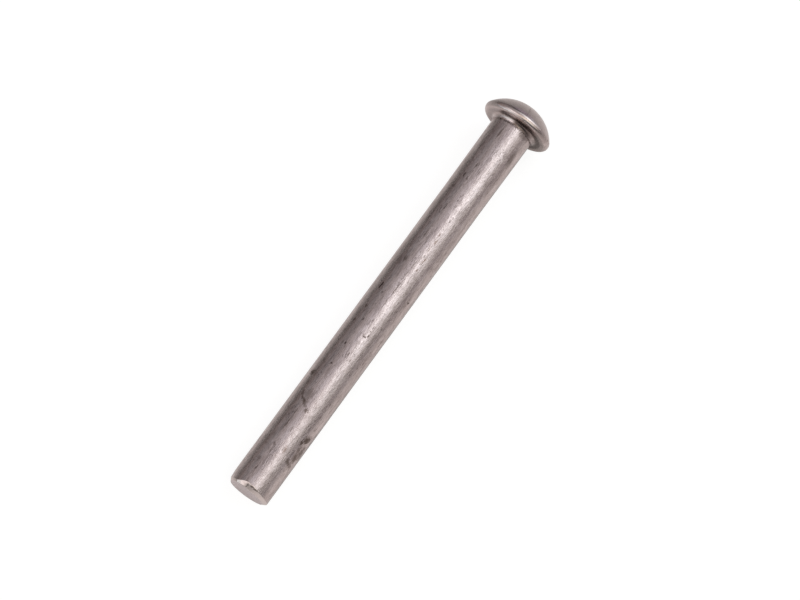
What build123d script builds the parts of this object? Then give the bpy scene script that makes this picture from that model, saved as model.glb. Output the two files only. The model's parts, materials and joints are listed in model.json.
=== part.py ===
from build123d import *
from math import asin, atan2, cos, degrees, hypot, sin, tan
import os

# A long solid rivet with a round head, upset from one piece of drawn steel wire.
# It lies on its side, as a loose rivet comes to rest, on the rim of its head and
# on the edge of its free end. X runs along the rivet, with the head at +X, and
# Z is up from the surface that it lies on.

# Shank
shank_diameter = 7.8
shank_length = 80.0

# Neck, where the upsetting of the head has left the shank a little fuller
neck_length = 16.0
neck_growth = 0.2
neck_fillet = 0.8

# Head
head_diameter = 13.3
head_height = 4.7
rim_rounding = 0.85

# Cropped and deburred free end
chamfer_length = 0.6
chamfer_depth = 0.45
edge_rounding = 0.3

shank_radius = shank_diameter / 2
neck_radius = shank_radius + neck_growth / 2
seat_radius = head_diameter / 2 - rim_rounding


def dome_radius():
    """Return the radius of the dome that meets the rounded rim without a crease."""
    squares = seat_radius**2 + head_height**2 - 2 * rim_rounding * head_height
    return squares / (2 * (head_height - 2 * rim_rounding))


def rivet_section():
    """Return one side of the section along the axis, the bearing face of the head at x = 0."""
    face_corner = (-shank_length, shank_radius - chamfer_depth)
    side_corner = (chamfer_length - shank_length, shank_radius)
    neck_corner = (0, neck_radius)
    seat_edge = (0, seat_radius)
    apex = (head_height, 0)

    dome = dome_radius()
    dome_centre = head_height - dome
    rim_angle = atan2(seat_radius, rim_rounding - dome_centre)
    rim_top = (dome_centre + dome * cos(rim_angle), dome * sin(rim_angle))
    dome_side = (dome_centre + dome * cos(rim_angle / 2), dome * sin(rim_angle / 2))

    with BuildSketch(Plane.XY) as section:
        with BuildLine():
            Polyline(
                apex,
                (-shank_length, 0),
                face_corner,
                side_corner,
                (-neck_length, shank_radius),
                neck_corner,
                seat_edge,
            )
            TangentArc(seat_edge, rim_top, tangent=(0, 1))
            ThreePointArc(rim_top, dome_side, apex)
        make_face()
        for corner, rounding in (
            (neck_corner, neck_fillet),
            (face_corner, edge_rounding),
            (side_corner, edge_rounding),
        ):
            fillet(section.vertices().sort_by_distance(corner)[0], rounding)
    return section.sketch


def resting_slope():
    """Return the slope of the axis, in degrees, when rim and free end touch one surface."""
    edge_run = edge_rounding * tan(atan2(chamfer_depth, chamfer_length) / 2)
    span = rim_rounding + shank_length - chamfer_length - edge_run
    drop = seat_radius - (shank_radius - edge_rounding)
    return degrees(atan2(drop, span) + asin((rim_rounding - edge_rounding) / hypot(span, drop)))


def laid_down(upright):
    """Return the solid at its resting slope on z = 0, with the origin under its middle."""
    sloped = Rot(0, -resting_slope(), 0) * upright
    box = sloped.bounding_box()
    return Pos(-box.center().X, -box.center().Y, -box.min.Z) * sloped


rivet = laid_down(revolve(rivet_section(), Axis.X))
rivet.label = "rivet"

os.makedirs("parts", exist_ok=True)
export_step(rivet, "parts/rivet.step")
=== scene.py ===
"""A solid rivet of drawn steel, lying loose on a pale studio floor.

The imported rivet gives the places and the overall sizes. This script models the
same form finely, with its uneven chamfer, its slightly offset head, the wire's
waviness and a few dents. The shank, the upset head, the cropped end face and
the filed chamfer each get their own steel finish.
"""

import json
import logging
import math
from dataclasses import dataclass
from enum import Enum

import bmesh
import bpy
from mathutils import Matrix, Vector, noise

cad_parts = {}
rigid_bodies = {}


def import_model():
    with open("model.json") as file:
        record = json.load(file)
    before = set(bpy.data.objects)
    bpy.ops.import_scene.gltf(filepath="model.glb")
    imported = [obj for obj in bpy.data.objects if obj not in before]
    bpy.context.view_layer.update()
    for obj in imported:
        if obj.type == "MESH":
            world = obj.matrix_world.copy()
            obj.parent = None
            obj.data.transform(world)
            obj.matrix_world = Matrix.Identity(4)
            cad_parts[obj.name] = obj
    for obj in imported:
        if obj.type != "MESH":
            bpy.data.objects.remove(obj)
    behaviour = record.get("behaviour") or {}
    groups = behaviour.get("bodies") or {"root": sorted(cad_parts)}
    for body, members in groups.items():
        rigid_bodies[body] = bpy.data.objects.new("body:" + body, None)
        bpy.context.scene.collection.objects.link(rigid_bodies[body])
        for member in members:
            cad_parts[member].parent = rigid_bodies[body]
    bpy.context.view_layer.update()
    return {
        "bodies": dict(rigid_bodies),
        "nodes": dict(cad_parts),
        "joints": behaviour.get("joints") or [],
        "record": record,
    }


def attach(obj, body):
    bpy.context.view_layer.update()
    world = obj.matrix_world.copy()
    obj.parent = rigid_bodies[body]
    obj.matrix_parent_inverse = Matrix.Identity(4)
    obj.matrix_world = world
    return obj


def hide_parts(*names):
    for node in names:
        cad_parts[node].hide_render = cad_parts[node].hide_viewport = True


MILLIMETRE = 0.001
NODE = "rivet"
BODY = "root"

# How far a point may be off a plane or the axis and still count as on it, and how
# close together two points are before they are merged.
TOLERANCE = 0.01 * MILLIMETRE
MERGE_DISTANCE = 0.002 * MILLIMETRE

# The photograph's width in pixels and the camera's sensor in millimetres.
PHOTO_WIDTH = 800
SENSOR_WIDTH = 36.0

WHITE = (1.0, 1.0, 1.0, 1.0)

# Grain: the noise levels between which it comes in, how many times larger the clouds
# of tarnish are, how far it spreads the roughness, and its fine part's share in the height.
SHADE_LEVELS = (0.32, 0.68)
FINE_LEVELS = (0.3, 0.7)
CLOUD_SCALE = 6.0
ROUGHNESS_SPREAD = 0.12
FINE_HEIGHT = 0.5

# Specks and scratches: how strongly they cluster, how soft their edges are, how few
# scratches there are, how dark both are, and the specks' share in the height.
SPECK_CLUSTERING = 0.6
SPECK_SOFTNESS = 0.09
SPECK_TONE = 0.55
SPECK_HEIGHT = -0.8
SCRATCH_RARITY = 0.84
SCRATCH_TONE = 0.36

# Marks: where their soft edge ends, as a share of their reach, and how far they reach
# in and out from their middle, in millimetres.
MARK_EDGE = 1.25
MARK_REACH = 4.0

Number = float | bpy.types.NodeSocket
Triple = tuple[float, float, float]
Colour = Triple | bpy.types.NodeSocket

log = logging.getLogger("rivet")


class Zone(Enum):
    """The stretches of the rivet's surface that were made in different ways."""

    SHANK = 0
    HEAD = 1
    END = 2
    CHAMFER = 3


class MarkKind(Enum):
    """What a mark on the steel is made of; some grime marks are painted shade instead."""

    GRIME = "grime"
    PIT = "pit"
    RUST = "rust"


class Side(Enum):
    """The sides of the neck on which the painted shade shows."""

    UPPER = "upper"
    FRONT = "front"


class SocketKind(Enum):
    """The kinds of socket that the shared effects have."""

    NUMBER = "NodeSocketFloat"
    VECTOR = "NodeSocketVector"


@dataclass(frozen=True)
class Form:
    """The rivet's own axes and overall sizes, in metres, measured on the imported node.

    The form's own frame has its origin in the middle of the head's bearing face, x
    along the axis towards the head, y across and z up, square to the axis.
    """

    seat: Vector
    axis: Vector
    shank_radius: float
    shank_length: float
    head_radius: float
    head_height: float

    @classmethod
    def measured(cls, frame: dict) -> "Form":
        """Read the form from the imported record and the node's mesh.


        Returns:
            The measured form.
        """
        mounts = {mount["name"]: mount for mount in frame["record"]["mounts"]}
        shank = mounts["shank"]
        axis = -Vector(shank["axis"]).normalized()
        on_axis = Vector(shank["pos_m"])
        on_seat = Vector(mounts["head_seat"]["pos_m"])
        seat = on_axis + axis * (on_seat - on_axis).dot(axis)
        points = [vertex.co - seat for vertex in frame["nodes"][NODE].data.vertices]
        along = [point.dot(axis) for point in points]
        across = [(point - axis * point.dot(axis)).length for point in points]
        return cls(
            seat=seat,
            axis=axis,
            shank_radius=shank["dims"]["r_mm"] * MILLIMETRE,
            shank_length=-min(along),
            head_radius=max(across),
            head_height=max(along),
        )

    @property
    def slope(self) -> float:
        """Return the angle in radians by which the axis rises towards the head."""
        return math.asin(self.axis.z)

    def placement(self) -> Matrix:
        """Return the matrix from the form's own frame to the row frame."""
        return Matrix.Translation(self.seat) @ Matrix.Rotation(-self.slope, 4, "Y")


@dataclass(frozen=True)
class Mark:
    """One mark on the steel, with its place and size on the surface.

    Attributes:
        kind: what it is made of; some grime marks are painted shade.
        station: millimetres from the bearing face, negative along the shank.
        turn: degrees round the axis from the top, positive towards -y.
        length: half its reach along the axis, in millimetres.
        width: half its reach round the axis, in millimetres.
        lean: degrees by which its length turns away from the axis.
        strength: how strongly it shows, from 0 to 1.
        depth: how deep the steel is pressed in under it, in millimetres.
        zone: the stretch of the surface that it is on.
        radius: how far it is from the axis, in millimetres, or 0 for the shank's radius.
    """

    kind: MarkKind
    station: float
    turn: float
    length: float
    width: float
    lean: float = 0.0
    strength: float = 1.0
    depth: float = 0.0
    zone: Zone = Zone.SHANK
    radius: float = 0.0


MARKS = (
    Mark(MarkKind.GRIME, -63.4, 9.3, 0.44, 0.38, 0.0, 0.85),
    Mark(MarkKind.GRIME, -62.8, -0.7, 0.58, 0.28, 52.0, 0.60),
    Mark(MarkKind.GRIME, -62.2, -9.1, 0.62, 0.35, 25.0, 0.95),
    Mark(MarkKind.GRIME, -61.8, -17.9, 0.44, 0.26, 55.0, 0.80),
    Mark(MarkKind.GRIME, -61.0, -25.7, 0.68, 0.28, 18.0, 0.75),
    Mark(MarkKind.GRIME, -59.0, -35.3, 0.44, 0.26, 10.0, 0.50),
    Mark(MarkKind.GRIME, -60.9, -9.9, 1.37, 0.85, 5.0, 0.42),
    Mark(MarkKind.GRIME, -72.2, 50.3, 0.79, 0.41, 50.0, 0.80),
    Mark(MarkKind.GRIME, -72.5, 66.6, 0.55, 0.43, 80.0, 0.60),
    Mark(MarkKind.GRIME, -70.9, 64.0, 1.20, 0.60, 4.0, 0.85),
    Mark(MarkKind.GRIME, -69.4, 58.1, 0.79, 0.39, 0.0, 0.65),
    Mark(MarkKind.GRIME, -68.2, 50.8, 0.58, 0.48, -25.0, 0.95),
    Mark(MarkKind.GRIME, -67.2, 61.9, 1.03, 0.68, -38.0, 1.00),
    Mark(MarkKind.GRIME, -69.6, 73.0, 1.54, 0.60, 0.0, 0.80),
    Mark(MarkKind.RUST, -71.0, 24.7, 0.79, 0.24, 4.0, 0.75),
    Mark(MarkKind.GRIME, -71.1, -6.4, 0.38, 0.20, 20.0, 0.50),
    Mark(MarkKind.GRIME, -67.0, -10.9, 0.96, 0.15, 0.0, 0.65),
    Mark(MarkKind.GRIME, -64.4, -10.9, 0.58, 0.15, 0.0, 0.65),
    Mark(MarkKind.GRIME, -67.3, 8.0, 0.75, 0.14, 0.0, 0.50),
    Mark(MarkKind.GRIME, -57.0, -41.7, 0.55, 0.47, 0.0, 0.95),
    Mark(MarkKind.PIT, -54.1, -9.9, 0.19, 0.17, 0.0, 0.80, 0.012),
    Mark(MarkKind.PIT, -49.8, -11.9, 0.29, 0.17, 0.0, 0.95, 0.015),
    Mark(MarkKind.GRIME, -49.8, -20.4, 0.34, 0.14, 0.0, 0.50),
    Mark(MarkKind.GRIME, -45.3, -32.7, 0.41, 0.24, 0.0, 0.80),
    Mark(MarkKind.PIT, -44.6, -11.1, 0.32, 0.15, 0.0, 0.70, 0.010),
    Mark(MarkKind.GRIME, -42.2, -27.6, 0.38, 0.32, 0.0, 0.70),
    Mark(MarkKind.PIT, -38.8, -13.3, 0.27, 0.13, 0.0, 0.60, 0.010),
    Mark(MarkKind.PIT, -76.3, -7.9, 0.46, 0.14, -14.0, 0.7, 0.015),
    Mark(MarkKind.PIT, -47.1, 18.3, 0.15, 0.33, 10.0, 0.9, 0.012),
    Mark(MarkKind.PIT, -46.9, 13.3, 0.22, 0.10, 12.0, 0.55, 0.010),
    Mark(MarkKind.PIT, -46.6, 25.2, 0.29, 0.14, -12.0, 0.90, 0.015),
    Mark(MarkKind.PIT, -45.7, 23.4, 0.15, 0.10, 0.0, 0.70, 0.010),
    Mark(MarkKind.PIT, -44.9, 23.4, 0.34, 0.10, 0.0, 0.80, 0.012),
    Mark(MarkKind.GRIME, -52.1, 54.1, 0.21, 0.18, 0.0, 0.60),
    Mark(MarkKind.PIT, -37.7, -28.1, 0.75, 0.20, -2.0, 1.00, 0.015),
    Mark(MarkKind.GRIME, -31.4, -17.1, 0.55, 0.40, 12.0, 0.60),
    Mark(MarkKind.PIT, -37.4, 63.8, 0.22, 0.24, 10.0, 0.90, 0.012),
    Mark(MarkKind.RUST, -32.1, 26.1, 0.27, 0.19, 0.0, 0.90),
    Mark(MarkKind.RUST, -29.9, 27.2, 0.72, 0.18, -8.0, 0.85),
    Mark(MarkKind.RUST, -28.0, 20.0, 0.48, 0.14, 0.0, 0.80),
    Mark(MarkKind.RUST, -26.2, 22.0, 0.55, 0.16, -5.0, 0.80),
    Mark(MarkKind.RUST, -24.7, 19.0, 0.44, 0.12, 4.0, 0.80),
    Mark(MarkKind.PIT, -13.0, -23.3, 0.48, 0.19, 0.0, 0.80, 0.015),
    Mark(MarkKind.GRIME, -5.6, 55.5, 1.88, 0.65, 8.0, 0.60),
    Mark(MarkKind.GRIME, -3.2, -10.8, 1.30, 0.16, -3.0, 0.75),
    Mark(MarkKind.GRIME, -15.6, -29.7, 0.50, 0.30, 0.0, 0.60),
    Mark(MarkKind.GRIME, -13.4, -11.0, 0.35, 0.13, 0.0, 0.65),
    Mark(MarkKind.GRIME, -10.6, -10.0, 0.50, 0.13, 0.0, 0.70),
    Mark(MarkKind.GRIME, -11.5, 6.4, 0.80, 0.12, 0.0, 0.50),
    Mark(MarkKind.GRIME, -74.7, -16.7, 0.60, 0.35, 0.0, 0.45),
    Mark(MarkKind.GRIME, -72.6, -3.0, 0.60, 0.12, 0.0, 0.50),
    Mark(MarkKind.GRIME, -40.2, 9.7, 1.20, 0.11, 0.0, 0.55),
    Mark(MarkKind.GRIME, -37.1, 11.0, 1.00, 0.12, 0.0, 0.65),
    Mark(MarkKind.GRIME, -33.8, 9.8, 0.50, 0.13, 0.0, 0.60),
    Mark(MarkKind.GRIME, -31.8, 10.5, 0.80, 0.12, 0.0, 0.60),
    Mark(MarkKind.GRIME, -26.0, -12.0, 0.95, 0.12, 0.0, 0.65),
    Mark(MarkKind.GRIME, -22.8, -34.0, 0.50, 0.20, 0.0, 0.60),
    Mark(MarkKind.GRIME, -19.9, -12.4, 0.85, 0.12, 0.0, 0.65),
    # Two dark marks that darken the notch at the chamfer's outer edge.
    Mark(MarkKind.PIT, -79.34, 15.0, 0.13, 0.5, 7.0, 0.8, zone=Zone.CHAMFER),
    Mark(MarkKind.PIT, -79.45, 27.0, 0.12, 0.55, 5.0, 0.8, zone=Zone.CHAMFER),
    # Painted shade on the shank beside the head, a painted dark reflection of the head.
    Mark(MarkKind.GRIME, -1.3, 45.0, 0.5, 1.2, 0.0, 0.5),
    # Painted shade on the head's fillet, underside and rim: painted dark reflections of the shaded
    # floor and of the corner under the head.
    Mark(MarkKind.GRIME, -0.3, 88.0, 0.6, 1.3, 0.0, 0.45, zone=Zone.HEAD, radius=4.5),
    Mark(MarkKind.GRIME, 0.0, 110.0, 0.6, 2.6, 0.0, 0.35, zone=Zone.HEAD, radius=5.8),
    Mark(MarkKind.GRIME, -0.3, 59.0, 0.5, 0.9, 0.0, 0.35, zone=Zone.HEAD, radius=4.7),
    Mark(MarkKind.GRIME, 0.2, 58.0, 0.7, 2.2, 0.0, 0.35, zone=Zone.HEAD, radius=6.4),
    # A scratch on the dome.
    Mark(MarkKind.GRIME, 2.6, 16.0, 1.5, 0.09, 0.0, 0.45, zone=Zone.HEAD, radius=5.4),
    # Painted shade on the rim's upper side, a painted dark reflection of the shaded floor.
    Mark(MarkKind.GRIME, 1.2, -48.0, 0.5, 3.2, 0.0, 0.4, zone=Zone.HEAD, radius=6.5),
)

DENTS = tuple(mark for mark in MARKS if mark.depth)


@dataclass(frozen=True)
class MarkLook:
    """How one kind of mark shows on the steel.

    Attributes:
        colour: the colour that it gives to the steel.
        core: how far out it is at full strength, as a share of its reach.
        ragged: how uneven its edge is, as a share of its reach.
        matt: what it adds to the roughness.
    """

    colour: Triple
    core: float
    ragged: float
    matt: float


MARK_LOOKS = {
    # The grime look paints real grime, and also the painted shade beside the neck and on the head.
    MarkKind.GRIME: MarkLook(colour=(0.14, 0.105, 0.09), core=0.5, ragged=0.9, matt=0.15),
    MarkKind.PIT: MarkLook(colour=(0.1, 0.072, 0.065), core=0.6, ragged=0.6, matt=0.1),
    MarkKind.RUST: MarkLook(colour=(0.23, 0.165, 0.14), core=0.3, ragged=1.1, matt=0.15),
}


@dataclass(frozen=True)
class ShadeRing:
    """One ring of painted shade round the neck.

    Attributes:
        x: its middle along the axis, in millimetres from the bearing face.
        off: its middle's distance from the shank's surface, in millimetres.
        full: how far from its middle it is at full strength, in millimetres.
        none: how far from its middle it ends, in millimetres.
        side: the side of the neck on which it shows.
    """

    x: float
    off: float
    full: float
    none: float
    side: Side


@dataclass(frozen=True)
class NeckShade:
    """Where the painted shade in the corner under the head lies, a darkening in the colour that
    stands in for the dark reflections and shade there.

    Each edge runs between two places across the rivet, in millimetres along y.

    Attributes:
        rings: the rings that it is made of.
        ragged: how uneven their edges are, in millimetres.
        upper_edge: where the upper rings fade towards the far side.
        upper_rest: what is left of them beyond that edge.
        front_edge: where the front ring comes in.
        front_end: where the front ring fades towards the near side.
        front_rest: the share of it that is left beyond that edge.
    """

    rings: tuple[ShadeRing, ...] = (
        ShadeRing(x=-0.05, off=1.05, full=0.3, none=0.75, side=Side.UPPER),
        ShadeRing(x=-0.82, off=0.08, full=0.05, none=0.2, side=Side.UPPER),
        ShadeRing(x=-0.4, off=0.45, full=0.35, none=0.7, side=Side.FRONT),
    )
    ragged: float = 0.3
    upper_edge: tuple[float, float] = (3.4, 2.2)
    upper_rest: float = 0.15
    front_edge: tuple[float, float] = (0.3, -0.6)
    front_end: tuple[float, float] = (-4.2, -3.0)
    front_rest: float = 0.2


def placed(mesh: bmesh.types.BMesh, name: str) -> bpy.types.Object:
    """Turn a finished bmesh into an object of the scene.

    Args:
        mesh: the bmesh, which is freed.
        name: the object's name.

    Returns:
        The object.
    """
    data = bpy.data.meshes.new(name)
    mesh.to_mesh(data)
    mesh.free()
    made = bpy.data.objects.new(name, data)
    bpy.context.scene.collection.objects.link(made)
    return made


class Section:
    """Draws the rivet's section as one chain of edges, from the free end to the apex."""

    def __init__(self, mesh: bmesh.types.BMesh, start: tuple[float, float]) -> None:
        """Set the chain's first point.

        Args:
            mesh: the mesh that takes the chain.
            start: the first point, as x and radius.
        """
        self.mesh = mesh
        self.end = mesh.verts.new((start[0], 0.0, start[1]))

    def line(self, x: float, radius: float, steps: int) -> None:
        """Run straight to a point.

        Args:
            x: the point's place along the axis.
            radius: its distance from the axis.
            steps: how many edges the run has.
        """
        stride = (Vector((x, 0.0, radius)) - self.end.co) / steps
        for _ in range(steps):
            made = bmesh.ops.extrude_vert_indiv(self.mesh, verts=[self.end])
            self.end = made["verts"][0]
            bmesh.ops.translate(self.mesh, verts=[self.end], vec=stride)

    def arc(self, x: float, radius: float, angle: float, steps: int) -> None:
        """Turn round a centre.

        Args:
            x: the centre's place along the axis.
            radius: its distance from the axis.
            angle: how far the arc turns, in radians, positive from +z towards +x.
            steps: how many edges the arc has.
        """
        made = bmesh.ops.spin(
            self.mesh,
            geom=[self.end],
            cent=(x, 0.0, radius),
            axis=(0.0, 1.0, 0.0),
            angle=angle,
            steps=steps,
            use_duplicate=False,
        )
        self.end = next(item for item in made["geom_last"] if isinstance(item, bmesh.types.BMVert))


@dataclass(frozen=True)
class ChamferStop:
    """How large the uneven chamfer is at one place round the free end.

    Attributes:
        turn: degrees round the axis.
        length: the chamfer along the axis there, in millimetres.
        depth: the chamfer towards the axis there, in millimetres.
        taper: how far in the shank is drawn behind the chamfer there, in millimetres.
    """

    turn: float
    length: float
    depth: float
    taper: float = 0.0


@dataclass(frozen=True)
class Fineness:
    """How many steps each stretch of the section has, and the turn round the axis."""

    face: int = 20
    chamfer: int = 9
    free_end: int = 24
    shank: int = 206
    neck: int = 50
    fillet: int = 12
    seat: int = 6
    rim: int = 16
    dome: int = 34
    turn: int = 256


@dataclass(frozen=True)
class Wear:
    """How the drawn wire's waviness and the dents move the surface.

    Attributes:
        wave: the waves' size, in millimetres.
        shank_stretch: how many times longer they are along the axis, on the shank.
        head_stretch: how many times longer they are along the axis, elsewhere.
        shank_lift: how high they stand on the shank, in millimetres.
        head_lift: how high they stand elsewhere, in millimetres.
        ripple: how many times smaller the shank's second waves are.
        ripple_lift: how high those stand, in millimetres.
        shank_share: the share of the shank's radius past which a point is on its side.
        dent_reach: how far out a dent still counts, in its own half lengths.
        dent_fall: how fast a dent gets shallower from its middle.
    """

    wave: float = 1.6
    shank_stretch: float = 4.5
    head_stretch: float = 1.2
    shank_lift: float = 0.009
    head_lift: float = 0.012
    ripple: float = 2.7
    ripple_lift: float = 0.0035
    shank_share: float = 0.97
    dent_reach: float = 2.5
    dent_fall: float = 1.4


@dataclass
class Rivet:
    """The rivet itself: one turned form with its working marks.

    Attributes:
        form: its measured axes and overall sizes.
        neck_length: how far from the head the shank swells.
        neck_growth: how much the swelling adds to the shank's diameter.
        neck_fillet: the radius of the fillet under the head.
        rim_rounding: the radius of the head's rim.
        chamfer_length: the free end's chamfer, along the axis.
        chamfer_depth: the free end's chamfer, towards the axis.
        chamfer_run: how far from the free end the uneven chamfer shifts the rings.
        chamfer_ragged: how uneven the chamfer's length is.
        chamfer_ragged_size: how far apart that unevenness changes.
        chamfer_stops: how large the chamfer is round the end, in the order of the turns.
        head_shift: how far the head was upset off the shank's axis, towards -y.
        fineness: how many steps the mesh has.
        wear: how uneven the surface is.
    """

    form: Form
    neck_length: float = 16.0 * MILLIMETRE
    neck_growth: float = 0.2 * MILLIMETRE
    neck_fillet: float = 0.8 * MILLIMETRE
    rim_rounding: float = 0.78 * MILLIMETRE
    chamfer_length: float = 0.34 * MILLIMETRE
    chamfer_depth: float = 0.38 * MILLIMETRE
    chamfer_run: float = 3.0 * MILLIMETRE
    chamfer_ragged: float = 0.03 * MILLIMETRE
    chamfer_ragged_size: float = 0.6 * MILLIMETRE
    chamfer_stops: tuple[ChamferStop, ...] = (
        ChamferStop(turn=-130.0, length=0.5, depth=0.35, taper=0.1),
        ChamferStop(turn=-85.0, length=0.6, depth=0.35, taper=0.14),
        ChamferStop(turn=-50.0, length=0.4, depth=0.3, taper=0.06),
        ChamferStop(turn=-30.0, length=0.3, depth=0.25),
        ChamferStop(turn=-8.0, length=0.85, depth=0.48),
        ChamferStop(turn=0.0, length=0.92, depth=0.61),
        ChamferStop(turn=3.5, length=0.85, depth=1.03),
        ChamferStop(turn=12.0, length=0.75, depth=1.15),
        ChamferStop(turn=35.0, length=0.54, depth=1.2),
        ChamferStop(turn=60.0, length=0.36, depth=1.1),
        ChamferStop(turn=90.0, length=0.3, depth=0.9),
        ChamferStop(turn=130.0, length=0.35, depth=0.5),
    )
    head_shift: float = 0.17 * MILLIMETRE
    fineness: Fineness = Fineness()
    wear: Wear = Wear()

    def draw_section(self, mesh: bmesh.types.BMesh) -> None:
        """Draw the half section, ready to be spun round the axis.

        Args:
            mesh: the empty mesh that takes it.
        """
        form, steps = self.form, self.fineness
        free_end = -form.shank_length
        neck_radius = form.shank_radius + self.neck_growth / 2
        seat_radius = form.head_radius - self.rim_rounding
        height = form.head_height
        squares = seat_radius**2 + height**2 - 2 * self.rim_rounding * height
        dome = squares / (2 * (height - 2 * self.rim_rounding))
        dome_centre = height - dome
        rim_angle = math.atan2(seat_radius, self.rim_rounding - dome_centre)
        face_radius = form.shank_radius - self.chamfer_depth

        section = Section(mesh, (free_end, 0.0))
        section.line(free_end, face_radius, steps.face)
        section.line(free_end + self.chamfer_length, form.shank_radius, steps.chamfer)
        section.line(free_end + self.chamfer_run, form.shank_radius, steps.free_end)
        section.line(-self.neck_length, form.shank_radius, steps.shank)
        section.line(-self.neck_fillet, neck_radius, steps.neck)
        section.arc(
            -self.neck_fillet, neck_radius + self.neck_fillet, -math.pi / 2, steps.fillet
        )
        section.line(0.0, seat_radius, steps.seat)
        section.arc(self.rim_rounding, seat_radius, math.pi - rim_angle, steps.rim)
        section.arc(dome_centre, 0.0, rim_angle, steps.dome)

    def zone_of(self, x: float) -> Zone:
        """Tell how a stretch of the surface was made.

        Args:
            x: its place along the form's own axis.

        Returns:
            The zone that it is in.
        """
        if x >-self.neck_fillet / 2:
            return Zone.HEAD
        from_end = x + self.form.shank_length
        if from_end < TOLERANCE:
            return Zone.END
        return Zone.CHAMFER if from_end < self.chamfer_length else Zone.SHANK

    def chamfer_at(self, turn: float) -> tuple[float, ...]:
        """Work out the chamfer's size between the two stops beside a place.

        Args:
            turn: the place, in degrees round the axis, from -180 to 180.

        Returns:
            The chamfer's length, its depth and the taper behind it.
        """
        stops = self.chamfer_stops
        after = next((i for i, stop in enumerate(stops) if stop.turn > turn), 0)
        left, right = stops[after - 1], stops[after]
        share = ((turn - left.turn) % 360.0) / ((right.turn - left.turn) % 360.0)
        pairs = (
            (left.length, right.length),
            (left.depth, right.depth),
            (left.taper, right.taper),
        )
        return tuple((low + share * (high - low)) * MILLIMETRE for low, high in pairs)

    def chamfered(self, point: Vector) -> Vector:
        """Shift a point near the free end so that the chamfer comes out uneven.

        Args:
            point: the point on the even form, in the form's own frame.

        Returns:
            The shifted point.
        """
        x = point.x + self.form.shank_length
        if x >= self.chamfer_run:
            return point
        turn = math.degrees(math.atan2(-point.y, point.z))
        length, depth, taper = self.chamfer_at(turn)
        ragged = noise.noise(Vector((point.y, point.z, 0.0)) / self.chamfer_ragged_size)
        length += ragged * self.chamfer_ragged
        radius = math.hypot(point.y, point.z)
        face_radius = self.form.shank_radius - self.chamfer_depth
        if x > self.chamfer_length:
            share = (x - self.chamfer_length) / (self.chamfer_run - self.chamfer_length)
            x = length + share * (self.chamfer_run - length)
            scale = 1.0 - taper * (1.0 - share) ** 2 / self.form.shank_radius
        elif x > 0.0:
            share = x / self.chamfer_length
            x = share * length
            scale = (self.form.shank_radius - taper - (1.0 - share) * depth) / radius
        else:
            scale = (self.form.shank_radius - taper - depth) / face_radius
        return Vector((x - self.form.shank_length, point.y * scale, point.z * scale))

    def shifted(self, point: Vector) -> Vector:
        """Shift a point of the head, which sits a little off the shank's axis.

        Args:
            point: the point on the even form, in the form's own frame.

        Returns:
            The shifted point.
        """
        share = 1.0
        if point.x < TOLERANCE:
            fillet_edge = self.form.shank_radius + self.neck_growth / 2 + self.neck_fillet
            seat_radius = self.form.head_radius - self.rim_rounding
            reach = (math.hypot(point.y, point.z) - fillet_edge) / (seat_radius - fillet_edge)
            share = min(max(reach, 0.0), 1.0) if point.x > -TOLERANCE else 0.0
        return point - Vector((0.0, share * self.head_shift, 0.0))

    def worn(self, point: Vector) -> Vector:
        """Move a point by the waviness of the drawn wire and by the dents in it.

        Args:
            point: the point in the form's own frame.

        Returns:
            The moved point.
        """
        wear = self.wear
        radius = math.hypot(point.y, point.z)
        if radius < TOLERANCE:
            return point
        outward = Vector((0.0, point.y, point.z)) / radius
        side_radius = self.form.shank_radius * wear.shank_share
        on_shank = point.x < -self.neck_fillet and radius > side_radius
        stretch = wear.shank_stretch if on_shank else wear.head_stretch
        wave = Vector((point.x / stretch, point.y, point.z)) / (wear.wave * MILLIMETRE)
        lift = noise.noise(wave) * (wear.shank_lift if on_shank else wear.head_lift)
        if on_shank:
            lift += noise.noise(wave * wear.ripple) * wear.ripple_lift
            lift -= self.dented(point)
        return point + outward * (lift * MILLIMETRE)

    def dented(self, point: Vector) -> float:
        """Add up the dents at a point of the shank.

        Args:
            point: the point in the form's own frame.

        Returns:
            How deep they are there, in millimetres.
        """
        turn = math.degrees(math.atan2(-point.y, point.z))
        radius = math.hypot(point.y, point.z) / MILLIMETRE
        depth = 0.0
        for dent in DENTS:
            along = (point.x / MILLIMETRE - dent.station) / dent.length
            if abs(along) < self.wear.dent_reach:
                round_it = math.radians(turn - dent.turn) * radius / dent.width
                square = along**2 + round_it**2
                depth += dent.depth * math.exp(-self.wear.dent_fall * square)
        return depth

    def build(self) -> bpy.types.Object:
        """Model the rivet as one closed mesh in its place.

        Returns:
            The rivet's object, without materials.
        """
        mesh = bmesh.new()
        self.draw_section(mesh)
        bmesh.ops.spin(
            mesh,
            geom=mesh.verts[:] + mesh.edges[:],
            cent=(0.0, 0.0, 0.0),
            axis=(1.0, 0.0, 0.0),
            angle=math.tau,
            steps=self.fineness.turn,
            use_merge=True,
            use_duplicate=False,
        )
        bmesh.ops.remove_doubles(mesh, verts=mesh.verts[:], dist=MERGE_DISTANCE)
        for face in mesh.faces:
            face.smooth = True
            face.material_index = self.zone_of(face.calc_center_median().x).value
        for vertex in mesh.verts:
            vertex.co = self.worn(self.shifted(self.chamfered(vertex.co)))
        bmesh.ops.recalc_face_normals(mesh, faces=mesh.faces[:])
        bmesh.ops.transform(mesh, matrix=self.form.placement(), verts=mesh.verts[:])
        return placed(mesh, "rivet_body")


@dataclass(frozen=True)
class Noise:
    """One layer of noise.

    Attributes:
        scale: how many times finer it is than the pattern that it is part of.
        detail: how many finer layers are added to it.
        roughness: how strong those are.
    """

    scale: float
    detail: float
    roughness: float


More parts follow.
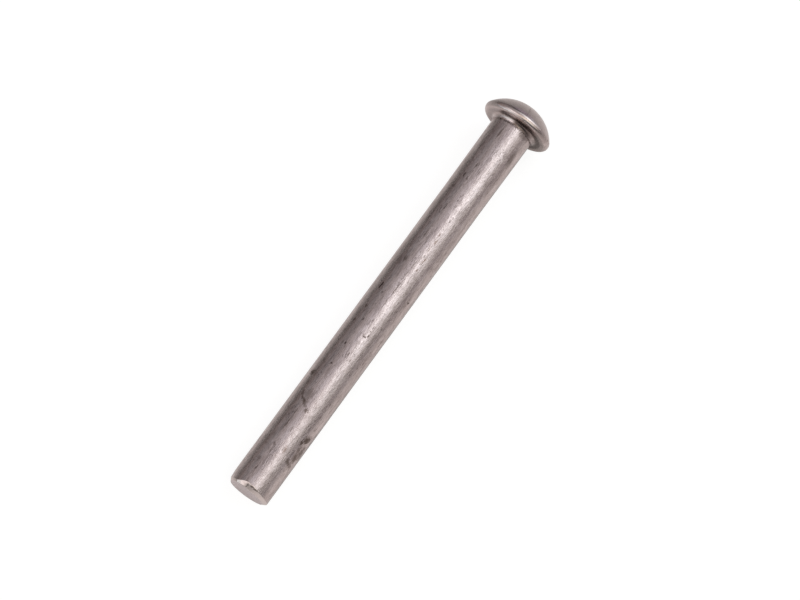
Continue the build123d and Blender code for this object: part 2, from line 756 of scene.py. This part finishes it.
BROAD_GRAIN = Noise(scale=1.0, detail=3.0, roughness=0.65)
FINE_GRAIN = Noise(scale=2.7, detail=2.0, roughness=0.6)
SPECK_DOTS = Noise(scale=1.0, detail=1.0, roughness=0.5)
SPECK_CLUSTERS = Noise(scale=0.17, detail=1.0, roughness=0.5)

# The sums on vectors whose result is a number.
MEASURES = ("LENGTH", "DISTANCE", "DOT_PRODUCT")


class Graph:
    """A node tree that is being wired."""

    def __init__(self, tree: bpy.types.NodeTree) -> None:
        """Take the tree.

        Args:
            tree: the node tree to fill.
        """
        self.tree = tree

    @classmethod
    def emptied(cls, owner: bpy.types.Material | bpy.types.World) -> "Graph":
        """Clear the tree of a material or a world, ready to be wired.

        Args:
            owner: the material or the world.

        Returns:
            Its graph, without nodes.
        """
        owner.use_nodes = True
        owner.node_tree.nodes.clear()
        return cls(owner.node_tree)

    def add(self, kind: str, inputs: dict | None = None, **settings: object) -> bpy.types.Node:
        """Add a node.

        Args:
            kind: the node's type name.
            inputs: a value or a feeding socket for each input's name or number.
            settings: the node's own options.

        Returns:
            The node.
        """
        node = self.tree.nodes.new(kind)
        for option, choice in settings.items():
            setattr(node, option, choice)
        for key, value in (inputs or {}).items():
            if isinstance(value, bpy.types.NodeSocket):
                self.tree.links.new(value, node.inputs[key])
            else:
                node.inputs[key].default_value = value
        return node

    def math(self, operation: str, *values: Number) -> bpy.types.NodeSocket:
        """Do one sum on numbers.

        Args:
            operation: the Math node's operation.
            values: the numbers or the sockets that give them.

        Returns:
            The result's socket.
        """
        return self.add("ShaderNodeMath", dict(enumerate(values)), operation=operation).outputs[0]

    def vector(self, operation: str, *values: object) -> bpy.types.NodeSocket:
        """Do one sum on vectors.

        Args:
            operation: the Vector Math node's operation.
            values: the vectors or the sockets that give them.

        Returns:
            The result's socket, a number for a length, a distance or a dot product.
        """
        node = self.add("ShaderNodeVectorMath", dict(enumerate(values)), operation=operation)
        return node.outputs["Value" if operation in MEASURES else "Vector"]

    def noise(self, place: bpy.types.NodeSocket, layer: Noise) -> bpy.types.NodeSocket:
        """Lay noise over the surface.

        Args:
            place: where on the pattern a point is.
            layer: the kind of noise.

        Returns:
            The noise's socket.
        """
        inputs = {
            "Vector": place,
            "Scale": layer.scale,
            "Detail": layer.detail,
            "Roughness": layer.roughness,
        }
        return self.add("ShaderNodeTexNoise", inputs).outputs[0]

    def ease(
        self, value: Number, low: float, high: Number, bottom: Number = 0.0, top: Number = 1.0
    ) -> bpy.types.NodeSocket:
        """Step smoothly between two levels.

        Args:
            value: the number that is stepped.
            low: where the step starts.
            high: where it ends.
            bottom: the result before the step.
            top: the result after it.

        Returns:
            The stepped number's socket.
        """
        inputs = {"Value": value, "From Min": low, "From Max": high, "To Min": bottom, "To Max": top}
        return self.add("ShaderNodeMapRange", inputs, interpolation_type="SMOOTHSTEP").outputs[0]

    def mix(self, share: Number, first: Colour, second: Colour) -> bpy.types.NodeSocket:
        """Mix two colours.

        Args:
            share: how much of the second colour there is.
            first: the first colour or its socket.
            second: the second colour or its socket.

        Returns:
            The mixture's socket.
        """
        first, second = ((*c, 1.0) if isinstance(c, tuple) else c for c in (first, second))
        inputs = {0: share, 6: first, 7: second}
        return self.add("ShaderNodeMix", inputs, data_type="RGBA").outputs[2]

    def blend(
        self,
        share: Number,
        first: bpy.types.NodeSocket | None,
        second: bpy.types.NodeSocket,
    ) -> bpy.types.NodeSocket:
        """Mix two shaders.

        Args:
            share: how much of the second shader there is.
            first: the first shader, or none for black.
            second: the second shader.

        Returns:
            The mixture's socket.
        """
        inputs = {0: share, 2: second}
        if first is not None:
            inputs[1] = first
        return self.add("ShaderNodeMixShader", inputs).outputs[0]

    def group(self, tree: bpy.types.NodeTree, inputs: dict | None = None) -> dict:
        """Place a shared group.

        Args:
            tree: the shared group.
            inputs: a value or a feeding socket for each of its inputs.

        Returns:
            Its outputs by their names.
        """
        return self.add("ShaderNodeGroup", inputs, node_tree=tree).outputs


class Effect(Graph):
    """A shader node group that the finishes share."""

    def __init__(
        self, name: str, inputs: dict[str, SocketKind], outputs: dict[str, SocketKind]
    ) -> None:
        """Make the group and its sockets.

        Args:
            name: the group's name.
            inputs: the kind of each input.
            outputs: the kind of each output.
        """
        super().__init__(bpy.data.node_groups.new(name, "ShaderNodeTree"))
        for way, sockets in (("INPUT", inputs), ("OUTPUT", outputs)):
            for label, kind in sockets.items():
                self.tree.interface.new_socket(label, in_out=way, socket_type=kind.value)
        self.inlet = self.add("NodeGroupInput").outputs
        self.outlet = self.add("NodeGroupOutput").inputs

    def give(self, label: str, value: bpy.types.NodeSocket) -> None:
        """Feed one of the group's outputs.

        Args:
            label: the output's name.
            value: the socket that feeds it.
        """
        self.tree.links.new(value, self.outlet[label])


class SteelEffects:
    """The effects that more than one finish uses, each made once as a node group."""

    def __init__(self, form: Form) -> None:
        """Make the groups.

        Args:
            form: the rivet's measured axes.
        """
        self.place = self.make_place(form)
        self.grain = self.make_grain()
        self.specks = self.make_specks()
        self.mark = self.make_mark()
        self.painted_shade = self.make_neck_shade(form, NeckShade())

    def make_place(self, form: Form) -> bpy.types.NodeTree:
        """Make a group that gives a point's place in the form's frame, in millimetres.

        Args:
            form: the rivet's measured axes.

        Returns:
            The group.
        """
        effect = Effect("place on the rivet", {}, {"Place": SocketKind.VECTOR})
        where = effect.add("ShaderNodeTexCoord").outputs["Object"]
        mapped = effect.add(
            "ShaderNodeMapping",
            {
                "Vector": where,
                "Location": form.seat,
                "Rotation": (0.0, -form.slope, 0.0),
                "Scale": (MILLIMETRE,) * 3,
            },
            vector_type="TEXTURE",
        ).outputs[0]
        effect.give("Place", mapped)
        return effect.tree

    def make_grain(self) -> bpy.types.NodeTree:
        """Make a group for grain, whose Size holds its millimetres along x, y and z.

        Returns:
            The group.
        """
        effect = Effect(
            "steel grain",
            {"Place": SocketKind.VECTOR, "Size": SocketKind.VECTOR},
            {"Shade": SocketKind.NUMBER, "Fine": SocketKind.NUMBER},
        )
        scaled = effect.vector("DIVIDE", effect.inlet["Place"], effect.inlet["Size"])
        effect.give("Shade", effect.ease(effect.noise(scaled, BROAD_GRAIN), *SHADE_LEVELS))
        effect.give("Fine", effect.ease(effect.noise(scaled, FINE_GRAIN), *FINE_LEVELS))
        return effect.tree

    def make_specks(self) -> bpy.types.NodeTree:
        """Make a group for small dark specks, which come in loose clusters.

        Returns:
            The group.
        """
        effect = Effect(
            "steel specks",
            {
                "Place": SocketKind.VECTOR,
                "Size": SocketKind.VECTOR,
                "Rarity": SocketKind.NUMBER,
            },
            {"Mask": SocketKind.NUMBER},
        )
        scaled = effect.vector("DIVIDE", effect.inlet["Place"], effect.inlet["Size"])
        dots = effect.noise(scaled, SPECK_DOTS)
        clusters = effect.noise(scaled, SPECK_CLUSTERS)
        level = effect.math("MULTIPLY_ADD", clusters, SPECK_CLUSTERING, dots)
        above = effect.math("SUBTRACT", level, effect.inlet["Rarity"])
        effect.give("Mask", effect.ease(above, 0.0, SPECK_SOFTNESS))
        return effect.tree

    def make_mark(self) -> bpy.types.NodeTree:
        """Make a group for one soft-edged mark, added to the marks before it.

        Returns:
            The group.
        """
        effect = Effect(
            "steel mark",
            {
                "Before": SocketKind.NUMBER,
                "Ragged": SocketKind.NUMBER,
                "Core": SocketKind.NUMBER,
                "Strength": SocketKind.NUMBER,
                "Place": SocketKind.VECTOR,
                "Centre": SocketKind.VECTOR,
                "Turn": SocketKind.VECTOR,
                "Reach": SocketKind.VECTOR,
            },
            {"Mask": SocketKind.NUMBER},
        )
        mapped = effect.add(
            "ShaderNodeMapping",
            {
                "Vector": effect.inlet["Place"],
                "Location": effect.inlet["Centre"],
                "Rotation": effect.inlet["Turn"],
                "Scale": effect.inlet["Reach"],
            },
            vector_type="TEXTURE",
        ).outputs[0]
        ragged = effect.math("ADD", effect.vector("LENGTH", mapped), effect.inlet["Ragged"])
        core, strength = effect.inlet["Core"], effect.inlet["Strength"]
        mask = effect.ease(ragged, MARK_EDGE, core, 0.0, strength)
        effect.give("Mask", effect.math("MAXIMUM", effect.inlet["Before"], mask))
        return effect.tree

    def make_neck_shade(self, form: Form, painted_shade: NeckShade) -> bpy.types.NodeTree:
        """Make a group for the rings of painted shade in the corner under the head.

        Args:
            form: the rivet's measured axes.
            painted_shade: where the painted shade lies.

        Returns:
            The group.
        """
        effect = Effect(
            "dirt in the neck corner",
            {
                "Place": SocketKind.VECTOR,
                "Ragged": SocketKind.NUMBER,
                "Strength": SocketKind.NUMBER,
            },
            {"Mask": SocketKind.NUMBER},
        )
        parts = effect.add("ShaderNodeSeparateXYZ", {0: effect.inlet["Place"]}).outputs
        flat = effect.add("ShaderNodeCombineXYZ", {0: parts["Y"], 1: parts["Z"]}).outputs[0]
        radius = effect.vector("LENGTH", flat)
        ring = effect.add("ShaderNodeCombineXYZ", {0: parts["X"], 1: radius}).outputs[0]
        across, full = parts["Y"], effect.inlet["Strength"]
        front = effect.ease(across, *painted_shade.front_edge, 0.0, full)
        kept = effect.ease(across, *painted_shade.front_end, painted_shade.front_rest, 1.0)
        strengths = {
            Side.UPPER: effect.ease(across, *painted_shade.upper_edge, painted_shade.upper_rest, full),
            Side.FRONT: effect.math("MULTIPLY", front, kept),
        }
        mask = 0.0
        for band in painted_shade.rings:
            middle = (band.x, form.shank_radius / MILLIMETRE + band.off, 0.0)
            far = effect.vector("DISTANCE", ring, middle)
            ragged = effect.math("MULTIPLY_ADD", effect.inlet["Ragged"], painted_shade.ragged, far)
            shown = effect.ease(ragged, band.none, band.full, 0.0, strengths[band.side])
            mask = effect.math("MAXIMUM", mask, shown)
        effect.give("Mask", mask)
        return effect.tree


@dataclass(frozen=True)
class SteelFinish:
    """How one stretch of the steel was left by its making.

    Attributes:
        name: the material's name.
        pale: its colour where it is cleanest.
        deep: its colour where the grain holds grime.
        tarnish: its colour where it is tarnished.
        tarnish_share: how much of the tarnish shows.
        roughness: how matt it is.
        grain_size: the grain's size along x, y and z, in millimetres.
        grain_tone: how strongly the grain shows in the colour.
        grain_height: how high the grain stands, in millimetres.
        speck_size: the specks' size along x, y and z, in millimetres.
        speck_rarity: how few specks there are, from about 0.8 for many to 1.3 for none.
        scratch_size: the size of the fine dark lines in it, in the same way, or none.
        neck_shade: how strongly the painted shade in the corner under the head shows.
    """

    name: str
    pale: Triple
    deep: Triple
    tarnish: Triple
    tarnish_share: float
    roughness: float
    grain_size: Triple
    grain_tone: float
    grain_height: float
    speck_size: Triple
    speck_rarity: float
    scratch_size: Triple | None = None
    neck_shade: float = 0.0

    def build(self, effects: SteelEffects, marks: list[Mark], form: Form) -> bpy.types.Material:
        """Make the material.

        Args:
            effects: the shared node groups.
            marks: the marks that show on it.
            form: the rivet's measured axes.

        Returns:
            The material.
        """
        material = bpy.data.materials.new(self.name)
        graph = Graph.emptied(material)
        place = graph.group(effects.place)["Place"]
        grain = graph.group(effects.grain, {"Place": place, "Size": self.grain_size})
        cloud_size = tuple(size * CLOUD_SCALE for size in self.grain_size)
        cloud = graph.group(effects.grain, {"Place": place, "Size": cloud_size})
        specks = graph.group(
            effects.specks,
            {"Place": place, "Size": self.speck_size, "Rarity": self.speck_rarity},
        )["Mask"]

        tone = graph.math("MULTIPLY", grain["Shade"], self.grain_tone)
        colour = graph.mix(tone, self.pale, self.deep)
        veil = graph.math("MULTIPLY", cloud["Shade"], self.tarnish_share)
        colour = graph.mix(veil, colour, self.tarnish)
        dark = MARK_LOOKS[MarkKind.PIT].colour
        colour = graph.mix(graph.math("MULTIPLY", specks, SPECK_TONE), colour, dark)
        if self.scratch_size:
            lines = graph.group(
                effects.specks,
                {"Place": place, "Size": self.scratch_size, "Rarity": SCRATCH_RARITY},
            )["Mask"]
            colour = graph.mix(graph.math("MULTIPLY", lines, SCRATCH_TONE), colour, dark)
        smoothest = self.roughness - ROUGHNESS_SPREAD / 2
        matt = graph.math("MULTIPLY_ADD", grain["Fine"], ROUGHNESS_SPREAD, smoothest)
        uneven = graph.math("SUBTRACT", grain["Fine"], 0.5)
        # Painted shade: the corner under the head is darkened in the colour, standing in for the
        # dark reflections and shade that fall there.
        if self.neck_shade:
            painted_shade = graph.group(
                effects.painted_shade, {"Place": place, "Ragged": uneven, "Strength": self.neck_shade}
            )["Mask"]
            colour = graph.mix(painted_shade, colour, dark)
        for kind, look in MARK_LOOKS.items():
            of_kind = [mark for mark in marks if mark.kind is kind]
            if of_kind:
                mask = self.marked(graph, effects.mark, place, uneven, of_kind, form)
                colour = graph.mix(mask, colour, look.colour)
                matt = graph.math("MULTIPLY_ADD", mask, look.matt, matt)

        height = graph.math("MULTIPLY_ADD", grain["Fine"], FINE_HEIGHT, grain["Shade"])
        height = graph.math("MULTIPLY_ADD", specks, SPECK_HEIGHT, height)
        bump = graph.add(
            "ShaderNodeBump",
            {"Height": height, "Distance": self.grain_height * MILLIMETRE, "Strength": 1.0},
        )
        shader = graph.add(
            "ShaderNodeBsdfPrincipled",
            {"Base Color": colour, "Metallic": 1.0, "Roughness": matt, "Normal": bump.outputs[0]},
        )
        graph.add("ShaderNodeOutputMaterial", {"Surface": shader.outputs[0]})
        return material

    @staticmethod
    def marked(
        graph: Graph,
        tree: bpy.types.NodeTree,
        place: bpy.types.NodeSocket,
        uneven: bpy.types.NodeSocket,
        marks: list[Mark],
        form: Form,
    ) -> Number:
        """Chain the marks of one kind.

        Args:
            graph: the material's graph.
            tree: the shared group for one mark.
            place: the point's place in the form's frame, in millimetres.
            uneven: what makes the marks' edges ragged, from -0.5 to 0.5.
            marks: the marks, all of one kind.
            form: the rivet's measured axes.

        Returns:
            The socket that tells where these marks are.
        """
        look = MARK_LOOKS[marks[0].kind]
        ragged = graph.math("MULTIPLY", uneven, look.ragged)
        mask = 0.0
        for mark in marks:
            radius = mark.radius or form.shank_radius / MILLIMETRE
            turn, lean = math.radians(mark.turn), math.radians(mark.lean)
            facing = Matrix.Rotation(turn, 3, "X") @ Matrix.Rotation(lean, 3, "Z")
            inputs = {
                "Before": mask,
                "Ragged": ragged,
                "Core": look.core,
                "Strength": mark.strength,
                "Place": place,
                "Centre": (mark.station, -math.sin(turn) * radius, math.cos(turn) * radius),
                "Turn": facing.to_euler(),
                "Reach": (mark.length, mark.width, MARK_REACH),
            }
            mask = graph.group(tree, inputs)["Mask"]
        return mask


FINISHES = {
    Zone.SHANK: SteelFinish(
        name="drawn steel shank",
        pale=(0.65, 0.565, 0.555),
        deep=(0.53, 0.45, 0.435),
        tarnish=(0.44, 0.365, 0.35),
        tarnish_share=0.65,
        roughness=0.24,
        grain_size=(1.0, 0.3, 0.3),
        grain_tone=1.0,
        grain_height=0.009,
        speck_size=(0.7, 0.17, 0.17),
        speck_rarity=0.97,
        scratch_size=(1.3, 0.11, 0.11),
        neck_shade=0.85,
    ),
    Zone.HEAD: SteelFinish(
        name="upset steel head",
        pale=(0.6, 0.515, 0.5),
        deep=(0.5, 0.42, 0.405),
        tarnish=(0.44, 0.365, 0.35),
        tarnish_share=0.5,
        roughness=0.22,
        grain_size=(0.5, 0.5, 0.5),
        grain_tone=0.7,
        grain_height=0.005,
        speck_size=(0.3, 0.3, 0.3),
        speck_rarity=1.02,
        neck_shade=0.85,
    ),
    Zone.END: SteelFinish(
        name="cropped steel end",
        pale=(0.59, 0.51, 0.52),
        deep=(0.48, 0.41, 0.42),
        tarnish=(0.42, 0.36, 0.365),
        tarnish_share=0.4,
        roughness=0.3,
        grain_size=(0.5, 0.3, 1.2),
        grain_tone=0.7,
        grain_height=0.006,
        speck_size=(0.3, 0.3, 0.3),
        speck_rarity=1.02,
    ),
    Zone.CHAMFER: SteelFinish(
        name="filed steel chamfer",
        pale=(0.66, 0.575, 0.55),
        deep=(0.58, 0.5, 0.475),
        tarnish=(0.5, 0.425, 0.4),
        tarnish_share=0.4,
        roughness=0.19,
        grain_size=(0.2, 0.6, 0.6),
        grain_tone=0.7,
        grain_height=0.003,
        speck_size=(0.2, 0.3, 0.3),
        speck_rarity=1.3,
    ),
}


@dataclass(frozen=True)
class Glow:
    """A soft round patch of light in the studio's surroundings.

    Attributes:
        azimuth: degrees round from +x towards +y.
        elevation: degrees above the floor.
        light: how bright its middle is in red, green and blue.
        reach: degrees from its middle at which it has faded out.
    """

    azimuth: float
    elevation: float
    light: Triple
    reach: float = 27.0

    def direction(self) -> Triple:
        """Return the unit direction towards its middle."""
        round_it, up = math.radians(self.azimuth), math.radians(self.elevation)
        return (
            math.cos(round_it) * math.cos(up),
            math.sin(round_it) * math.cos(up),
            math.sin(up),
        )


@dataclass
class Studio:
    """The pale floor, the soft light and the camera.

    Attributes:
        glows: the soft patches of light round and above the rivet, most of them with
            strengths that were fitted to the photograph's reflections by least squares.
        plain_light: how bright the surroundings are between those patches.
        floor_reach: half the floor's side, in metres.
        floor_colour: the floor's own colour.
        floor_roughness: how matt the floor is.
        matt_share: how much of the floor's own light the steel's reflections show.
        floor_glow: the light that the floor adds to them right by the rivet.
        glow_reach: how far out from the rivet that light starts to fade, in metres.
        glow_fall: how fast it fades, as a power of the distance.
        glow_fall_side: how much faster on the +y side, and slower on the -y side.
        contact_edge: from where to where it comes in beside the rivet, in metres.
        contact_glow: the share of it that is left under the rivet.
        rivet_reach: how far the rivet covers the floor to each side along x, in metres.
        floor_white: how bright the camera sees the floor.
        white_share: how much of the floor's own light and shadow that brightness replaces.
        camera_place: where the camera stands, in metres.
        camera_target: the point that it looks at.
        camera_range: from where to where it sees, in metres.
        focal_pixels: its focal length in pixels of the photograph.
    """

    glows: tuple[Glow, ...] = (
        Glow(-180.0, 84.0, (0.20, 0.21, 0.25)),
        Glow(-150.0, 64.0, (0.79, 0.68, 0.49)),
        Glow(-138.5, 44.0, (0.67, 0.75, 0.75)),
        Glow(-110.8, 44.0, (0.60, 0.56, 0.42)),
        Glow(-110.0, 64.0, (0.47, 0.44, 0.43)),
        Glow(-102.5, 24.0, (0.44, 0.42, 0.42)),
        Glow(-60.0, 4.0, (0.44, 0.40, 0.44)),
        Glow(-57.5, 24.0, (0.40, 0.40, 0.35)),
        Glow(-55.4, 44.0, (1.07, 1.10, 1.16)),
        Glow(-54.0, 56.0, (0.86, 0.99, 1.0), reach=14.0),
        Glow(-30.0, 4.0, (0.43, 0.48, 0.54)),
        Glow(-30.0, 64.0, (0.60, 0.56, 0.58)),
        Glow(-27.7, 44.0, (0.89, 1.00, 1.00)),
        Glow(0.0, 4.0, (0.32, 0.26, 0.34)),
        Glow(10.0, 64.0, (0.23, 0.25, 0.28)),
        Glow(50.0, 64.0, (0.23, 0.21, 0.20)),
        Glow(55.0, 24.0, (0.20, 0.16, 0.16)),
        Glow(83.1, 44.0, (0.11, 0.13, 0.15)),
        Glow(90.0, 64.0, (0.18, 0.15, 0.15)),
        Glow(100.0, 24.0, (0.28, 0.21, 0.18)),
        Glow(120.0, 4.0, (0.32, 0.35, 0.40)),
        Glow(138.5, 44.0, (1.13, 1.13, 1.15)),
        Glow(150.0, 4.0, (1.21, 1.33, 1.36)),
        Glow(166.2, 44.0, (0.86, 0.82, 0.81)),
        Glow(176.0, 6.0, (0.6, 0.55, 0.52), reach=24.0),
    )
    plain_light: Triple = (0.1, 0.1, 0.1)
    floor_reach: float = 3.0
    floor_colour: Triple = (0.8, 0.8, 0.8)
    floor_roughness: float = 0.9
    matt_share: float = 0.55
    floor_glow: Triple = (0.466, 0.429, 0.42)
    glow_reach: float = 0.011
    glow_fall: float = 0.855
    glow_fall_side: float = 0.445
    contact_edge: tuple[float, float] = (0.002, 0.01)
    contact_glow: float = 0.35
    rivet_reach: float = 0.036
    floor_white: float = 1.16
    white_share: float = 0.75
    camera_place: Triple = (-0.1613176, -0.1142642, 0.5299483)
    camera_target: Triple = (0.0005078, -0.0016288, 0.0053)
    camera_range: tuple[float, float] = (0.01, 50.0)
    focal_pixels: float = 3261.612

    def light(self) -> None:
        """Light the scene from soft surroundings, which look white to the camera."""
        world = bpy.data.worlds.new("studio")
        bpy.context.scene.world = world
        graph = Graph.emptied(world)
        direction = graph.add("ShaderNodeTexCoord").outputs["Generated"]
        total = self.plain_light
        for glow in self.glows:
            facing = graph.vector("DOT_PRODUCT", direction, glow.direction())
            share = graph.ease(facing, math.cos(math.radians(glow.reach)), 1.0)
            total = graph.vector("MULTIPLY_ADD", share, glow.light, total)
        around = graph.add("ShaderNodeBackground", {"Color": total, "Strength": 1.0})
        white = graph.add("ShaderNodeBackground", {"Color": WHITE, "Strength": 1.0})
        seen = graph.add("ShaderNodeLightPath").outputs["Is Camera Ray"]
        shown = graph.blend(seen, around.outputs[0], white.outputs[0])
        graph.add("ShaderNodeOutputWorld", {"Surface": shown})

    def lay_floor(self) -> bpy.types.Object:
        """Lay the plain pale floor that the rivet rests on.

        Returns:
            The floor's object.
        """
        mesh = bmesh.new()
        bmesh.ops.create_grid(mesh, x_segments=1, y_segments=1, size=self.floor_reach)
        floor = placed(mesh, "floor")
        floor.data.materials.append(self.floor_material())
        return floor

    def floor_material(self) -> bpy.types.Material:
        """Make the matt white floor, which the camera and the steel see each in its own light.

        Returns:
            The floor's material.
        """
        material = bpy.data.materials.new("matt white floor")
        graph = Graph.emptied(material)
        matt = graph.add(
            "ShaderNodeBsdfPrincipled",
            {
                "Base Color": (*self.floor_colour, 1.0),
                "Roughness": self.floor_roughness,
                "Specular IOR Level": 0.0,
            },
        ).outputs[0]
        glow = graph.add(
            "ShaderNodeEmission",
            {"Color": (*self.floor_glow, 1.0), "Strength": self.glow_strength(graph)},
        ).outputs[0]
        white = graph.add(
            "ShaderNodeEmission", {"Color": WHITE, "Strength": self.floor_white}
        ).outputs[0]
        path = graph.add("ShaderNodeLightPath").outputs
        mirrored = graph.math("MAXIMUM", path["Is Glossy Ray"], path["Is Transmission Ray"])
        dim = graph.blend(self.matt_share, None, matt)
        lit = graph.add("ShaderNodeAddShader", {0: dim, 1: glow}).outputs[0]
        share = graph.math("MULTIPLY", path["Is Camera Ray"], self.white_share)
        shown = graph.blend(share, graph.blend(mirrored, matt, lit), white)
        graph.add("ShaderNodeOutputMaterial", {"Surface": shown})
        return material

    def glow_strength(self, graph: Graph) -> bpy.types.NodeSocket:
        """Work out how strong the floor's added glow is, which fades away from the rivet.

        Args:
            graph: the floor's graph.

        Returns:
            The strength's socket.
        """
        where = graph.add("ShaderNodeTexCoord").outputs["Object"]
        parts = graph.add("ShaderNodeSeparateXYZ", {0: where}).outputs
        beyond = graph.math("SUBTRACT", graph.math("ABSOLUTE", parts["X"]), self.rivet_reach)
        off = graph.add(
            "ShaderNodeCombineXYZ", {0: graph.math("MAXIMUM", beyond, 0.0), 1: parts["Y"]}
        ).outputs[0]
        far = graph.vector("LENGTH", off)
        out = graph.math("DIVIDE", self.glow_reach, graph.math("MAXIMUM", far, self.glow_reach))
        side = graph.math("DIVIDE", parts["Y"], graph.math("MAXIMUM", far, MILLIMETRE))
        fall = graph.math("MULTIPLY_ADD", side, self.glow_fall_side, self.glow_fall)
        contact = graph.ease(far, *self.contact_edge, self.contact_glow, 1.0)
        return graph.math("MULTIPLY", graph.math("POWER", out, fall), contact)

    def place_camera(self) -> None:
        """Stand the camera where the photograph was taken from."""
        data = bpy.data.cameras.new("camera")
        data.sensor_width = SENSOR_WIDTH
        data.sensor_fit = "HORIZONTAL"
        data.lens = self.focal_pixels * SENSOR_WIDTH / PHOTO_WIDTH
        data.clip_start, data.clip_end = self.camera_range
        camera = bpy.data.objects.new("camera", data)
        bpy.context.scene.collection.objects.link(camera)
        place, target = Vector(self.camera_place), Vector(self.camera_target)
        camera.location = place
        camera.rotation_euler = (target - place).to_track_quat("-Z", "Y").to_euler()
        bpy.context.scene.camera = camera


def main() -> None:
    """Build the rivet and its studio."""
    logging.basicConfig(level=logging.INFO, format="%(name)s: %(message)s")
    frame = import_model()
    form = Form.measured(frame)
    log.info("form measured, slope %.3f degrees", math.degrees(form.slope))

    body = Rivet(form).build()
    effects = SteelEffects(form)
    for zone in Zone:
        marks = [mark for mark in MARKS if mark.zone is zone]
        body.data.materials.append(FINISHES[zone].build(effects, marks, form))
    log.info("rivet_body has %d faces", len(body.data.polygons))
    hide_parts(NODE)
    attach(body, BODY)

    studio = Studio()
    studio.light()
    studio.lay_floor()
    studio.place_camera()
    bpy.context.scene.view_settings.view_transform = "Standard"
    log.info("studio set up")


if __name__ == "__main__":
    main()
